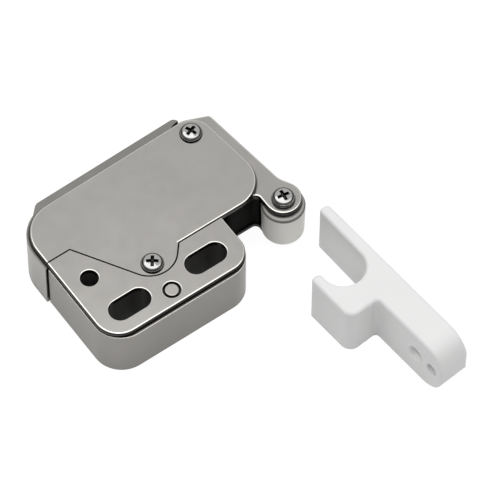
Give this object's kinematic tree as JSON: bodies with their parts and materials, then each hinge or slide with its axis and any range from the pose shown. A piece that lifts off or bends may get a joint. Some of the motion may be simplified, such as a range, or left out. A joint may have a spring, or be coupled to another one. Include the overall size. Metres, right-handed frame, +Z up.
{
  "type": "touch latch",
  "caption": "Surface-mounted touch latch with a roller on a swinging arm, and a separate hooked strike for the door.",
  "frame": {"origin": "middle of the two mounting slots, on the flat underside that screws to the cabinet", "axes": "+X towards the door, +Y from the mounting slots to the back wall, +Z up out of the mounting face"},
  "size_m": [0.0532, 0.071, 0.0136],
  "materials": {
    "housing_metal": "satin nickel on die-cast zinc",
    "cover_metal": "satin nickel",
    "base_sheet": "zinc-plated sheet",
    "rivet_metal": "plain steel rivet",
    "pin_metal": "satin nickel",
    "screw_metal": "bright plated",
    "bush_brass": "turned",
    "spring_steel": "bright spring wire and strip",
    "arm_metal": "satin nickel",
    "black_plastic": "moulded black acetal",
    "cam_steel": "ground steel",
    "roller_metal": "satin nickel",
    "strike_plastic": "smooth white moulding"
  },
  "bodies": {
    "housing": {"front_housing": "housing_metal", "mounting_block": "black_plastic", "rear_housing": "housing_metal", "front_cover": "cover_metal", "main_cover": "cover_metal", "bottom_plate": "base_sheet", "base_rivets": "rivet_metal", "cover_pin": "pin_metal", "cover_screw": "screw_metal", "pivot_screw": "screw_metal", "pivot_bush": "bush_brass", "link_post": "bush_brass", "follower_spring": "spring_steel", "leaf_rivet": "rivet_metal", "drive_spring": "spring_steel"},
    "arm": {"arm_top_plate": "arm_metal", "arm_bottom_plate": "arm_metal", "arm_core": "black_plastic", "cam_plate": "cam_steel", "arm_rivets": "rivet_metal", "spring_guide": "black_plastic", "roller_axle": "cam_steel", "roller_washer": "screw_metal", "roller_screw": "screw_metal"},
    "roller": {"roller": "roller_metal"},
    "follower": {"follower_link": "cam_steel", "follower_pin": "cam_steel"},
    "strike": {"strike": "strike_plastic"}
  },
  "joints": [
    {"name": "arm_swing", "type": "hinge", "parent": "housing", "child": "arm", "pos_m": [0.0217, 0.02355, 0.006], "axis": [0, 0, 1], "range_deg": [-4, 23], "deforming": ["drive_spring"]},
    {"name": "roller_spin", "type": "hinge", "parent": "arm", "child": "roller", "pos_m": [0.0277, 0.00265, 0.006], "axis": [0, 0, 1], "continuous": true},
    {"name": "follower_swing", "type": "hinge", "parent": "housing", "child": "follower", "pos_m": [-0.0028, 0.02105, 0.0094], "axis": [0, 0, 1], "range_deg": [-2.9, 0.6]},
    {"name": "strike_travel", "type": "slide", "parent": "housing", "child": "strike", "axis": [1, 0, 0], "range_m": [0, 0.03]}
  ],
  "couplings": [
    {"joint": "follower_swing", "follows": "arm_swing", "ratio": -0.12}
  ]
}
